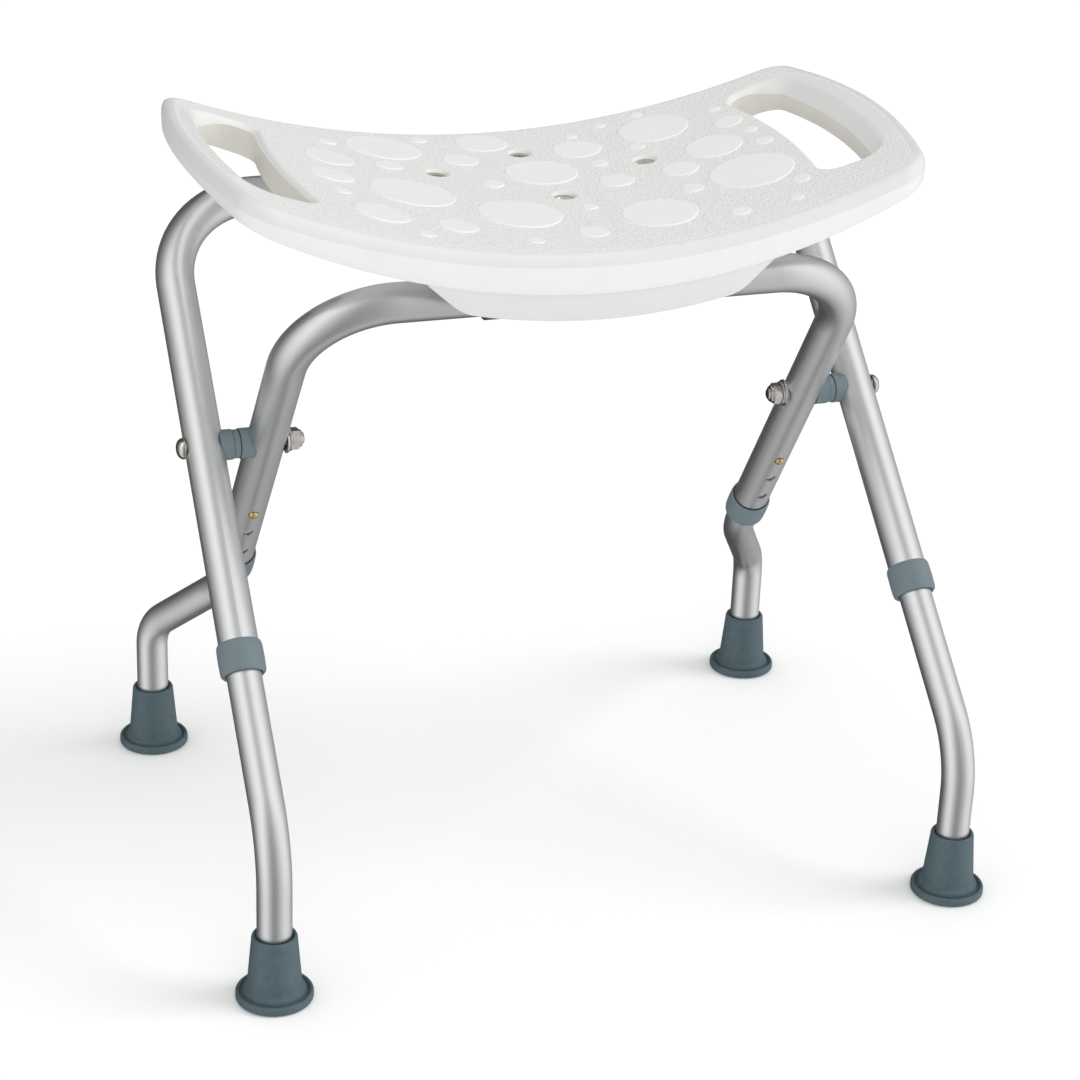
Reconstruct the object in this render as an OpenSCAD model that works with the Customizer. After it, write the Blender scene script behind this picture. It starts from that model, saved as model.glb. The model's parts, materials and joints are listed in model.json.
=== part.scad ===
// Folding shower stool: moulded seat on two crossed tube frames with adjustable legs.
// Frame: +Z up, +X to the stool's right, -Y to the front. Origin on the floor, midway
// between the four feet. All sizes in millimetres.

/* [Stance] */
// Distance between the left and right feet, centre to centre
foot_dx = 468; // [460:1:476]
// Distance between the front and back feet, centre to centre
foot_dy = 353; // [348:1:358]
// Height of the pivot bolts above the floor
pivot_z = 293.4; // [290:0.2:296]
// Distance of the pivot bolts behind the middle of the feet
pivot_y = 17; // [15:0.5:19]

/* [Tubes] */
// Outside diameter of the frame tubes
tube_d = 25.4; // [25:0.1:25.8]
// Outside diameter of the lower leg tubes
leg_d = 22.2; // [21.8:0.1:22.3]
// Wall of every tube
wall = 1.2; // [1:0.1:1.3]

/* [Outer frame] */
// Half width of the outer frame at the pivot
outer_x = 230.2; // [228:0.2:232]
// Lean of the outer frame from vertical, degrees
outer_lean = 45.8; // [45:0.1:46.5]
// Distance from the pivot to the rear crossbar
outer_reach = 179.7; // [176:0.5:184]
// Centreline radius of the outer frame's corners
outer_bend = 64; // [56:1:72]

/* [Inner frame] */
// Half width of the inner frame at the pivot
inner_x = 189.5; // [188:0.2:191]
// Lean of the inner frame from vertical, degrees
inner_lean = 34.2; // [33.5:0.1:35]
// Distance from the pivot to the front crossbar
inner_reach = 139.7; // [136:0.5:143]
// Centreline radius of the inner frame's corners
inner_bend = 61; // [54:1:66]

/* [Height adjustment] */
// Distance between neighbouring holes
pitch = 23; // [22:0.5:24]
// Number of holes in each frame leg
holes = 3; // [2:1:3]
// Distance from the pivot to the first hole
hole_from = 68; // [64:1:72]
// Diameter of the snap buttons
button_d = 6.2; // [5.6:0.1:6.4]
// How far a snap button stands out of the frame tube
button_out = 2.1; // [1.4:0.1:2.6]

/* [Seat] */
// Half length of the seat
seat_x = 239; // [234:1:241]
// Half depth of the seat
seat_y = 131.5; // [130:0.5:134]
// Distance of the seat's middle behind the middle of the feet
seat_back = 42; // [41:0.5:44]
// Height of the top face at the middle of the seat
seat_z = 443.2; // [442:0.2:446]
// Backward rise of the whole seat, degrees
seat_rise = 1.25; // [0.5:0.05:1.5]
// Radius of the top face's curve along the length
seat_arc = 584; // [570:2:600]
// Height of the outer rim at the middle
skirt_h = 26.4; // [25:0.2:28]
// Thickness of the seat's skin
skin = 3.6; // [3:0.1:4.2]
// Drain hole diameter
drain_d = 12; // [9:0.5:13]

/* [Feet] */
// Flange diameter of the rubber feet
foot_d = 49; // [46:0.5:52]
// Height of the rubber feet
foot_h = 45; // [44:0.5:50]

/* [Hidden] */
$fn = 64;

tr = tube_d / 2;
lr = leg_d / 2;
fx = foot_dx / 2;
fy = foot_dy / 2;
bolt_r = 4;
spring_t = 0.6;
band = 0.01;

// Directions up each frame's legs. side is -1 on the left and 1 on the right.
outer_run = (pivot_y + fy) / sin(outer_lean);
outer_splay = (fx - outer_x) / outer_run;
inner_splay = 0.0216;
function unit(v) = v / norm(v);
function pivot(front, side) = [side * (front ? outer_x : inner_x), pivot_y, pivot_z];
function up(front, side) = front
    ? unit([-side * outer_splay, sin(outer_lean), cos(outer_lean)])
    : unit([-side * inner_splay, -sin(inner_lean), cos(inner_lean)]);
// The side of a leg that its snap button looks out of: the underside
function under(front, side) = front
    ? unit([0, cos(outer_lean), -sin(outer_lean)])
    : unit([0, -cos(inner_lean), -sin(inner_lean)]);
function down_leg(front, side, l) = pivot(front, side) - l * up(front, side);
outer_end = 155;    // lower end of the outer frame tube, from the pivot
inner_end = 150;    // lower end of the inner frame tube, from the pivot
leg_top = 46;       // upper end of the lower legs, from the pivot
knee = 173.1;       // first bend of the back legs, from the pivot
ankle_z = 93.6;     // height of the back legs' second bend
foot_in = 5;        // floor of the foot's socket above the ground

// Bars and channels under the seat
front_bar = [pivot_y - inner_reach * sin(inner_lean), pivot_z + inner_reach * cos(inner_lean)];
rear_bar = [pivot_y + outer_reach * sin(outer_lean), pivot_z + outer_reach * cos(outer_lean)];
channel_r = tr + 0.4;
sag = seat_arc - sqrt(seat_arc * seat_arc - seat_x * seat_x);
rim_z = seat_z - skirt_h;
rim_arc = 509;
boss_z = 399.4;
boss_arc = 430;
boss_foot = 92;     // half length of the boss along its lower edge
boss_head = 120;    // half length of the boss where it leaves the rim
strap_x = 61;
strap_w = 20;
screw_y = 18.9;     // from the front bar to the strap screws

// ---------- shared shapes ----------

// Places its children with local Z along the line from a to b
module along(a, b) {
    z = unit(b - a);
    x = unit(abs(z[0]) < 0.9 ? cross([1, 0, 0], z) : cross([0, 1, 0], z));
    y = cross(z, x);
    multmatrix([[x[0], y[0], z[0], a[0]], [x[1], y[1], z[1], a[1]], [x[2], y[2], z[2], a[2]]])
        children();
}

module rod(a, b, r) { along(a, b) cylinder(h = norm(b - a), r = r); }

// A rod of radius r along the points p, with centreline radius b[i] at each inner point
module bent_rod(p, b, r) {
    n = len(p);
    d = [for (i = [0 : n - 2]) unit(p[i + 1] - p[i])];
    turn = [for (i = [0 : n - 3]) acos(d[i] * d[i + 1])];
    t = [for (i = [0 : n - 3]) b[i] * tan(turn[i] / 2)];
    for (i = [0 : n - 2]) {
        a = p[i] + (i > 0 ? t[i - 1] : 0) * d[i];
        e = p[i + 1] - (i < n - 2 ? t[i] : 0) * d[i];
        rod(a, e, r);
    }
    for (i = [0 : n - 3]) {
        s = p[i + 1] - t[i] * d[i];
        in = unit(d[i + 1] - d[i]);
        c = p[i + 1] + in * b[i] / cos(turn[i] / 2);
        x = unit(s - c);
        z = unit(cross(x, d[i]));
        y = cross(z, x);
        multmatrix([[x[0], y[0], z[0], c[0]], [x[1], y[1], z[1], c[1]], [x[2], y[2], z[2], c[2]]])
            rotate_extrude(angle = turn[i], $fn = 96) translate([b[i], 0]) circle(r = r);
        // a hair-thin band over each end of the bend, so that the pieces join as one
        rod(s - 0.3 * d[i], s + 0.3 * d[i], r + band);
        e = p[i + 1] + t[i] * d[i + 1];
        rod(e - 0.3 * d[i + 1], e + 0.3 * d[i + 1], r + band);
    }
}

// ---------- frames ----------

function frame_path(front, end) = [
    down_leg(front, -1, end),
    down_leg(front, -1, -(front ? outer_reach : inner_reach)),
    down_leg(front, 1, -(front ? outer_reach : inner_reach)),
    down_leg(front, 1, end)];

// Cuts a frame tube's bolt holes and the row of height holes in each of its legs
module frame_holes(front) {
    for (side = [-1, 1]) {
        translate(pivot(front, side)) rotate([0, 90, 0])
            cylinder(h = 40, r = bolt_r + 0.1, center = true);
        for (i = [0 : holes - 1]) {
            c = down_leg(front, side, hole_from + i * pitch);
            rod(c + 6 * under(front, side), c + 20 * under(front, side), button_d / 2 + 0.4);
        }
    }
}

module frame_tube(front) {
    end = front ? outer_end : inner_end;
    bend = front ? outer_bend : inner_bend;
    difference() {
        bent_rod(frame_path(front, end), [bend, bend], tr);
        bent_rod(frame_path(front, end + 2), [bend, bend], tr - wall);
        frame_holes(front);
    }
}

module outer_frame_tube() { color("silver") frame_tube(true); }
module inner_frame_tube() { color("silver") frame_tube(false); }

// ---------- lower legs ----------

function leg_path(front, side, top, low) = front
    ? [down_leg(true, side, top), [side * fx, -fy, pivot_z - outer_run * cos(outer_lean)],
       [side * fx, -fy, low]]
    : [down_leg(false, side, top), down_leg(false, side, knee), [side * fx, fy, ankle_z],
       [side * fx, fy, low]];

module leg(front, side) {
    b = front ? [69] : [70, 31];
    c = down_leg(front, side, hole_from);
    color("silver") difference() {
        bent_rod(leg_path(front, side, leg_top, foot_in), b, lr);
        bent_rod(leg_path(front, side, leg_top - 2, foot_in - 2), b, lr - wall);
        rod(c + 5 * under(front, side), c + 16 * under(front, side), button_d / 2 + 0.15);
    }
}

module leg_front_left() { leg(true, -1); }
module leg_front_right() { leg(true, 1); }
module leg_back_left() { leg(false, -1); }
module leg_back_right() { leg(false, 1); }

// ---------- rubber feet ----------

module foot(side, back) {
    h = foot_h;
    color([0.31, 0.40, 0.44]) translate([side * fx, back * fy, 0]) rotate_extrude($fn = 96)
        polygon([[0, 1.2], [foot_d / 2 - 8, 1.2], [foot_d / 2 - 8, 0], [foot_d / 2 - 1, 0],
            [foot_d / 2, 1], [foot_d / 2, 4.2], [foot_d / 2 - 0.8, 5.2], [17.6, 7.4],
            [14.6, h - 4], [14.4, h - 1.2], [13.4, h], [12.1, h], [lr + 0.05, h - 1.4],
            [lr + 0.05, foot_in], [0, foot_in]]);
}

module foot_front_left() { foot(-1, -1); }
module foot_front_right() { foot(1, -1); }
module foot_back_left() { foot(-1, 1); }
module foot_back_right() { foot(1, 1); }

// ---------- collars on the ends of the frame tubes ----------

module collar(front, side) {
    end = front ? outer_end : inner_end;
    a = down_leg(front, side, end - 19);
    b = down_leg(front, side, end + 2);
    color([0.45, 0.53, 0.56]) along(b, a) rotate_extrude($fn = 96)
        polygon([[lr + 0.35, 0], [13.2, 0], [14.2, 1], [14.5, 2.2], [14.6, 18], [14.4, 20.2],
            [13.6, 21], [tr + 0.05, 21], [tr + 0.05, 1.98], [lr + 0.35, 1.98]]);
}

module collar_front_left() { collar(true, -1); }
module collar_front_right() { collar(true, 1); }
module collar_back_left() { collar(false, -1); }
module collar_back_right() { collar(false, 1); }

// ---------- snap buttons and their springs ----------

module snap_button(front, side) {
    n = under(front, side);
    c = down_leg(front, side, hole_from);
    color([0.80, 0.62, 0.30]) along(c + 7.6 * n, c + 20 * n) rotate_extrude()
        polygon([[0, 0], [4.1, 0], [4.1, 0.9], [button_d / 2, 0.9],
            [button_d / 2, tr + button_out - 7.6 - 1.6],
            [button_d / 2 - 0.5, tr + button_out - 7.6 - 0.6],
            [button_d / 2 - 1.5, tr + button_out - 7.6], [0, tr + button_out - 7.6]]);
}

// A flat spring strip bent to a V: one arm behind the button, the other on the far wall
module snap_spring(front, side) {
    n = under(front, side);
    c = down_leg(front, side, hole_from);
    u = up(front, side);
    w = cross(u, n);
    t = spring_t;
    color([0.62, 0.64, 0.66])
        multmatrix([[n[0], -u[0], w[0], c[0]], [n[1], -u[1], w[1], c[1]], [n[2], -u[2], w[2], c[2]]])
            translate([0, 0, -3.5]) linear_extrude(7)
                polygon([[7.5, -6], [7.5, 6], [1, 36], [-1, 38], [-3, 36], [-8.9, 6], [-8.9, -6],
                    [-8.9 + t, -6], [-8.9 + t, 6], [-2.5, 35.6], [-1, 37.2], [0.5, 35.6],
                    [7.5 - t, 6], [7.5 - t, -6]]);
}

module snap_button_front_left() { snap_button(true, -1); }
module snap_button_front_right() { snap_button(true, 1); }
module snap_button_back_left() { snap_button(false, -1); }
module snap_button_back_right() { snap_button(false, 1); }
module snap_spring_front_left() { snap_spring(true, -1); }
module snap_spring_front_right() { snap_spring(true, 1); }
module snap_spring_back_left() { snap_spring(false, -1); }
module snap_spring_back_right() { snap_spring(false, 1); }

// ---------- pivots ----------

// Places its children at a pivot, with local Z pointing outwards from the stool's middle
module at_pivot(side) { translate([0, pivot_y, pivot_z]) rotate([0, side * 90, 0]) children(); }

head_x = outer_x + tr + 0.1;
nut_x = inner_x - tr - 3.3;

module pivot_bolt(side) {
    color([0.78, 0.76, 0.72]) at_pivot(side) union() {
        translate([0, 0, nut_x - 9.2]) cylinder(h = head_x - nut_x + 9.2, r = bolt_r);
        translate([0, 0, head_x]) rotate_extrude()
            polygon([[0, 0], [6.8, 0], [7, 0.4], [6.9, 1.4], [6.3, 2.8], [5, 4.2], [3, 5.1],
                [1, 5.4], [0, 5.4]]);
    }
}

module pivot_nut(side) {
    color([0.78, 0.76, 0.72]) at_pivot(side) translate([0, 0, nut_x - 7.6]) difference() {
        union() {
            translate([0, 0, 1.8]) cylinder(h = 5.7, r = 7.5, $fn = 6);
            cylinder(h = 1.9, r = 5.6);
        }
        translate([0, 0, -1]) cylinder(h = 10, r = bolt_r + 0.02);
    }
}

module nut_washer(side) {
    color([0.72, 0.73, 0.74]) at_pivot(side) translate([0, 0, nut_x]) difference() {
        cylinder(h = 1.3, r = 8);
        translate([0, 0, -1]) cylinder(h = 4, r = bolt_r + 0.1);
    }
}

// A washer with one face hollowed to fit a tube; from and to are distances from the middle
module saddle(side, from, to, r, front, tint = [0.45, 0.53, 0.56]) {
    color(tint) difference() {
        at_pivot(side) translate([0, 0, from]) cylinder(h = to - from, r = r);
        at_pivot(side) translate([0, 0, from - 1]) cylinder(h = to - from + 2, r = bolt_r + 0.15);
        rod(down_leg(front, side, -30), down_leg(front, side, 30), tr + 0.08);
    }
}

module nut_saddle(side) {
    saddle(side, nut_x + 1.5, inner_x - tr + 2.6, 9, false, [0.72, 0.73, 0.74]);
}
module inner_saddle(side) { saddle(side, inner_x + tr - 3.6, inner_x + tr + 5.2, 10, false); }
module outer_saddle(side) { saddle(side, outer_x - tr - 5.2, outer_x - tr + 3.6, 10, true); }

module spacer_barrel(side) {
    from = inner_x + tr + 5.4;
    color([0.45, 0.53, 0.56]) at_pivot(side) translate([0, 0, from]) difference() {
        cylinder(h = outer_x - tr - 5.3 - from, r = 9.4);
        translate([0, 0, -1]) cylinder(h = 30, r = bolt_r + 0.15);
    }
}

module pivot_bolt_left() { pivot_bolt(-1); }
module pivot_bolt_right() { pivot_bolt(1); }
module pivot_nut_left() { pivot_nut(-1); }
module pivot_nut_right() { pivot_nut(1); }
module nut_washer_left() { nut_washer(-1); }
module nut_washer_right() { nut_washer(1); }
module nut_saddle_left() { nut_saddle(-1); }
module nut_saddle_right() { nut_saddle(1); }
module spacer_barrel_left() { spacer_barrel(-1); }
module spacer_barrel_right() { spacer_barrel(1); }
module outer_saddle_left() { outer_saddle(-1); }
module outer_saddle_right() { outer_saddle(1); }
module inner_saddle_left() { inner_saddle(-1); }
module inner_saddle_right() { inner_saddle(1); }

// ---------- seat ----------

// Outline seen from above: a rounded rectangle with bowed sides and ends, e inside the edge
side_bow = 12;
end_bow = 16.5;
corner_r = 14;
function ring(x, y, r, n) = [for (q = [0 : 3]) for (k = [0 : n])
    let (a = 90 * q + 90 * k / n, sx = q == 0 || q == 3 ? 1 : -1, sy = q < 2 ? 1 : -1)
    [sx * (x - r) + r * cos(a), sy * (y - r) + r * sin(a)]];
function dense(p, m) = [for (i = [0 : len(p) - 1])
    let (a = p[i], b = p[(i + 1) % len(p)], k = norm(b - a) > 20 ? m : 1)
    for (j = [0 : k - 1]) a + (b - a) * j / k];
function bowed(p, x, y) = [for (q = p)
    [q[0] - sign(q[0]) * end_bow * pow(q[1] / y, 2) * abs(q[0] / x),
     q[1] - sign(q[1]) * side_bow * pow(q[0] / x, 2) * abs(q[1] / y)]];
function outline(e) = bowed(dense(ring(seat_x - e, seat_y - e, corner_r - e, 6), 8),
    seat_x - e, seat_y - e);

// Hand opening at the right end: bowed slot, from above
slot_in = 176;
slot_out = 214;
slot_half = 84;
slot_back = 7;
function slot(e) = let (w = (slot_out - slot_in) / 2 - e, m = (slot_out + slot_in) / 2,
        h = slot_half - e, r = min(15, w - 1))
    [for (q = dense(ring(w, h, r, 5), 8)) [m + q[0] - 8 * pow(q[1] / slot_half, 2), q[1] + slot_back]];

// A slice across the stool, drawn in X and Z, that runs past the seat's front and back edges
// and rises to the back with the seat
module slab() {
    translate([0, seat_back, 0]) rotate([90 + seat_rise, 0, 0])
        linear_extrude(2 * seat_y + 60, center = true) children();
}

// A disc whose lowest point is at height z
module arc_disc(r, z) { translate([0, z + r]) circle(r = r, $fn = 256); }

front_edge = seat_back - seat_y;
drains = [[-58, 36], [85, 26], [13, 75], [12, -18]];

module seat_solid() {
    intersection() {
        translate([0, seat_back, 380]) linear_extrude(140) polygon(outline(0));
        slab() union() {
            difference() {
                arc_disc(rim_arc, rim_z);
                arc_disc(seat_arc, seat_z);
                translate([-300, 520]) square([600, 1000]);
            }
            intersection() {
                translate([-200, boss_z - 1]) square([400, 57]);
                arc_disc(boss_arc, boss_z);
                polygon([[-boss_head, boss_z + 34.5], [-boss_foot, boss_z + 10],
                    [-boss_foot, boss_z - 6], [boss_foot, boss_z - 6],
                    [boss_foot, boss_z + 10], [boss_head, boss_z + 34.5]]);
            }
        }
    }
}

module seat_hollow() {
    intersection() {
        translate([0, seat_back, 370]) linear_extrude(160) polygon(outline(skin));
        slab() difference() {
            translate([-260, 380]) square([520, 130]);
            arc_disc(seat_arc + skin, seat_z - skin);
        }
    }
}

module seat() {
    color([0.94, 0.94, 0.93]) difference() {
        union() {
            difference() {
                seat_solid();
                seat_hollow();
            }
            intersection() {
                seat_solid();
                union() {
                    // long ribs from front to back
                    for (s = [-1, 1]) for (x = [34, 80])
                        translate([s * x - 1.5, front_edge + 1, 380])
                            cube([3, 2 * seat_y - 2, 120]);
                    // blocks over the front bar, which the straps are screwed to
                    for (s = [-1, 1])
                        translate([s * strap_x - strap_w / 2 - 1, front_bar[0] - 25, front_bar[1]])
                            cube([strap_w + 2, 50, 60]);
                    // seats over the rear bar
                    for (s = [-1, 1])
                        translate([s * strap_x - strap_w / 2 - 1, rear_bar[0] - 16, rear_bar[1] - 8])
                            cube([strap_w + 2, 32, 60]);
                    // walls around the hand openings
                    for (s = [-1, 1]) translate([0, seat_back, 380]) linear_extrude(140)
                        mirror([s < 0 ? 1 : 0, 0]) polygon(slot(-3.2));
                }
            }
        }
        // hand openings
        for (s = [-1, 1]) translate([0, seat_back, 380]) linear_extrude(140)
            mirror([s < 0 ? 1 : 0, 0]) polygon(slot(0));
        // drain holes
        for (p = drains)
            translate([p[0], seat_back + p[1], 380]) cylinder(h = 140, r = drain_d / 2);
        // clearance for the bars
        translate([-300, front_bar[0], front_bar[1]]) rotate([0, 90, 0])
            cylinder(h = 600, r = channel_r);
        translate([-300, front_bar[0] - channel_r, 380])
            cube([600, 2 * channel_r, front_bar[1] - 380]);
        translate([-300, rear_bar[0], rear_bar[1]]) rotate([0, 90, 0])
            cylinder(h = 600, r = channel_r);
        translate([-300, rear_bar[0] - 60, 380])
            cube([600, 60 + channel_r, rear_bar[1] + 5.5 - 380]);
        // screw holes in the blocks
        for (s = [-1, 1]) for (y = [-screw_y, screw_y])
            translate([s * strap_x, front_bar[0] + y, front_bar[1] - 1]) cylinder(h = 15, r = 1.9);
    }
}

// ---------- straps under the front bar ----------

module hinge_strap(side) {
    t = 2;
    color([0.70, 0.71, 0.72]) translate([side * strap_x - strap_w / 2, front_bar[0], front_bar[1]])
        rotate([90, 0, 90]) difference() {
            linear_extrude(strap_w) difference() {
                union() {
                    circle(r = channel_r + t);
                    translate([-22.5, -t - 0.1]) square([45, t]);
                }
                circle(r = channel_r);
                translate([-30, -0.1]) square([60, 40]);
            }
            for (y = [-screw_y, screw_y]) translate([y, 5, strap_w / 2]) rotate([90, 0, 0])
                cylinder(h = 10, r = 2.3);
        }
}

module hinge_strap_left() { hinge_strap(-1); }
module hinge_strap_right() { hinge_strap(1); }

module strap_screws() {
    color([0.75, 0.75, 0.76]) for (s = [-1, 1]) for (y = [-screw_y, screw_y])
        translate([s * strap_x, front_bar[0] + y, front_bar[1] - 2.2]) rotate([180, 0, 0])
            union() {
                translate([0, 0, -14]) cylinder(h = 14, r = 1.85);
                rotate_extrude() polygon([[0, 0], [3.4, 0], [3.4, 0.8], [2.6, 2], [1.2, 2.4], [0, 2.4]]);
            }
}

seat();
outer_frame_tube();
inner_frame_tube();
leg_front_left();
leg_front_right();
leg_back_left();
leg_back_right();
foot_front_left();
foot_front_right();
foot_back_left();
foot_back_right();
collar_front_left();
collar_front_right();
collar_back_left();
collar_back_right();
snap_button_front_left();
snap_button_front_right();
snap_button_back_left();
snap_button_back_right();
snap_spring_front_left();
snap_spring_front_right();
snap_spring_back_left();
snap_spring_back_right();
pivot_bolt_left();
pivot_bolt_right();
pivot_nut_left();
pivot_nut_right();
nut_washer_left();
nut_washer_right();
nut_saddle_left();
nut_saddle_right();
spacer_barrel_left();
spacer_barrel_right();
outer_saddle_left();
outer_saddle_right();
inner_saddle_left();
inner_saddle_right();
hinge_strap_left();
hinge_strap_right();
strap_screws();
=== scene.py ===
import json
import math

import bmesh
import bpy
import numpy as np
from mathutils import Matrix, Vector
from mathutils.geometry import delaunay_2d_cdt

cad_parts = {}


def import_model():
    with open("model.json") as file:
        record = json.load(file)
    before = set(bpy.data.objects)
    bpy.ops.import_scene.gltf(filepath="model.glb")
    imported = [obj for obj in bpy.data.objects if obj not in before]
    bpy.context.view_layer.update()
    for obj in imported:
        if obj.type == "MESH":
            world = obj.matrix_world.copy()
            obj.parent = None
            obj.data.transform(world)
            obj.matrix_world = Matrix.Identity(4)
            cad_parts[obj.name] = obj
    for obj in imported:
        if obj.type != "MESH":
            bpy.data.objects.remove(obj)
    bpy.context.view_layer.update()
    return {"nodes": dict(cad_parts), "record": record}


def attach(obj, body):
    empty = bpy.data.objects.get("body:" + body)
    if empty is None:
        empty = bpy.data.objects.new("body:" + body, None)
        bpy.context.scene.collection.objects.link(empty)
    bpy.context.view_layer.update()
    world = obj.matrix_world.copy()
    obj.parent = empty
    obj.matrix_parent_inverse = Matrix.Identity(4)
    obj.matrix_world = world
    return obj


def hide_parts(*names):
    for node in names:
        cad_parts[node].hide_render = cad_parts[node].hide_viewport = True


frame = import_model()
MM = 0.001

# ---------- sizes, in millimetres ----------

TUBE_R, LEG_R = 12.7, 11.1
PIVOT_Y, PIVOT_Z = 17.0, 293.4
OUTER_X, INNER_X = 230.2, 189.5
OUTER_LEAN, INNER_LEAN = math.radians(45.8), math.radians(34.2)
FOOT_X, FOOT_Y = 234.0, 176.5
OUTER_SPLAY = (FOOT_X - OUTER_X) * math.sin(OUTER_LEAN) / (PIVOT_Y + FOOT_Y)
INNER_SPLAY = 0.0216
OUTER_END, INNER_END = 155.0, 150.0
OUTER_REACH, INNER_REACH = 179.7, 139.7
HOLE_FROM = 68.0
BUTTON_OUT, PIN_FOOT = 2.1, 7.6
NUT_X = INNER_X - TUBE_R - 3.3
HEAD_X = OUTER_X + TUBE_R + 0.1

SEAT_X, SEAT_Y, SEAT_BACK, SEAT_Z = 239.0, 131.5, 42.0, 443.2
SEAT_ARC, RIM_ARC, BOSS_ARC = 584.0, 509.0, 430.0
RIM_Z, BOSS_Z = 416.8, 399.4
SIDE_BOW, END_BOW, CORNER_R, SKIN = 12.0, 16.5, 18.0, 3.6
RISE = math.radians(1.25)
# the rounded edge of the top: width at the middle, extra width at the ends, fall per width
RIM_WIDTH, RIM_EXTRA, RIM_FALL = 7.5, 2.5, 1.15
# the boss under the middle: half length drawn, where its ends start to rise, how much there, slope
BOSS_HALF, BOSS_FOOT, BOSS_FOOT_RISE, BOSS_SLOPE = 114, 92, 10, 0.875
SLOT_IN, SLOT_OUT, SLOT_HALF, SLOT_BACK, SLOT_BOW = 176.0, 214.0, 84.0, 7.0, 8.0
SLOT_CORNER, SLOT_WALL = 15, 3.2
# a hand opening's lip on its inner side, and what its outer side has more of each
LIP_WIDTH, LIP_WIDER, LIP_DEPTH, LIP_DEEPER, LIP_BLEND = 4.6, 3.2, 3.6, 5.0, 24
HANDLE_HALF = 72
DRAINS = [(-58, 36), (85, 26), (13, 75), (12, -18)]
DRAIN_R, DRAIN_LIP, DRAIN_COLLAR = 6.8, 9.0, 9.7
DRAIN_POINTS = 40
FRONT_BAR = (PIVOT_Y - INNER_REACH * math.sin(INNER_LEAN),
             PIVOT_Z + INNER_REACH * math.cos(INNER_LEAN))
REAR_BAR = (PIVOT_Y + OUTER_REACH * math.sin(OUTER_LEAN),
            PIVOT_Z + OUTER_REACH * math.cos(OUTER_LEAN))
CHANNEL_R, SHELF_UP = TUBE_R + 0.4, 5.5
RIB_X, RIB_HALF, SHELF_LENGTH = (-80, -34, 34, 80), 1.4, 60
BLOCK_X, BLOCK_HALF, FRONT_BLOCK, REAR_BLOCK, CLIP_DOWN = 61, 11, 25, 16, 8
# raised discs on the seat: x, y from the middle of the seat, radius
DISCS = [
    (-90, -14, 27), (-126, -69, 17), (-80, -79, 12), (-30, -51, 26.5), (13, 30, 23.8),
    (-27, 12, 6.8), (52, 68, 16), (54, -3, 11), (57, -73, 23.8), (5, -92, 9), (111, 78, 23.5),
    (98, -5, 11.8), (56, 35, 5.4), (20, -45, 4.5), (-37, -103, 5), (-107, -102, 5),
    (-80, 87, 25), (-128, 47, 15.5), (-138, 4, 13.5), (-6, 101, 17.5), (-32, 65, 11.5),
    (90, 53, 5), (92, -42, 6.8), (111, 111, 3.6), (83, 107, 3.6), (58, 96, 3.5),
    (131, 18, 18.5), (134, -40, 27), (160, 1, 5.5), (155, 51, 9), (102, -98, 5.8),
    (139, -101, 4), (153, -76, 5.3), (161, 26, 4), (157, 80, 3.6), (-88, 46, 8.7),
    (-141, -32, 4.8), (-48, 111, 5.6), (-118, 88, 5.6)]
DISC_RISE, DISC_FLANK = 0.6, 1.0
GRID_STEP = 7.5


# ---------- node materials ----------

def material(name, roughness, metallic=0.0):
    mat = bpy.data.materials.new(name)
    mat.use_nodes = True
    tree = mat.node_tree
    shader = tree.nodes["Principled BSDF"]
    shader.inputs["Roughness"].default_value = roughness
    shader.inputs["Metallic"].default_value = metallic
    return mat, tree, shader


def noise(tree, scale, detail=3.0):
    place = tree.nodes.new("ShaderNodeTexCoord")
    spots = tree.nodes.new("ShaderNodeTexNoise")
    spots.inputs["Scale"].default_value = scale
    spots.inputs["Detail"].default_value = detail
    tree.links.new(place.outputs["Object"], spots.inputs["Vector"])
    return spots.outputs["Fac"]


def tint(tree, shader, fac, low, high):
    ramp = tree.nodes.new("ShaderNodeValToRGB")
    ramp.color_ramp.elements[0].position = 0.35
    ramp.color_ramp.elements[1].position = 0.65
    ramp.color_ramp.elements[0].color = (*low, 1)
    ramp.color_ramp.elements[1].color = (*high, 1)
    tree.links.new(fac, ramp.inputs["Fac"])
    tree.links.new(ramp.outputs["Color"], shader.inputs["Base Color"])


def roughen(tree, shader, fac, low, high):
    span = tree.nodes.new("ShaderNodeMapRange")
    span.inputs["To Min"].default_value = low
    span.inputs["To Max"].default_value = high
    tree.links.new(fac, span.inputs["Value"])
    tree.links.new(span.outputs["Result"], shader.inputs["Roughness"])


def bump(tree, shader, fac, strength, distance):
    node = tree.nodes.new("ShaderNodeBump")
    node.inputs["Strength"].default_value = strength
    node.inputs["Distance"].default_value = distance
    tree.links.new(fac, node.inputs["Height"])
    tree.links.new(node.outputs["Normal"], shader.inputs["Normal"])
    return node


def white_pebble():
    """Leathery moulded grain: rounded grains; the gaps between them are painted a little darker,
    which is painted shade in the grain's hollows.
    """
    mat, tree, shader = material("white_plastic_pebbled", 0.45)
    place = tree.nodes.new("ShaderNodeTexCoord")
    cells = tree.nodes.new("ShaderNodeTexVoronoi")
    cells.feature = "SMOOTH_F1"
    cells.inputs["Scale"].default_value = 620
    cells.inputs["Smoothness"].default_value = 0.6
    tree.links.new(place.outputs["Object"], cells.inputs["Vector"])
    # painted shade: the low gaps between the grains are painted darker than the grains' tops
    tint(tree, shader, cells.outputs["Distance"], (0.84, 0.84, 0.83), (0.765, 0.765, 0.75))
    node = bump(tree, shader, cells.outputs["Distance"], 0.8, 0.0007)
    node.invert = True
    return mat


def white_smooth(name, low, high, roughness):
    mat, tree, shader = material(name, roughness)
    tint(tree, shader, noise(tree, 40), low, high)
    bump(tree, shader, noise(tree, 900, 2), 0.1, 0.0002)
    return mat


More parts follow.
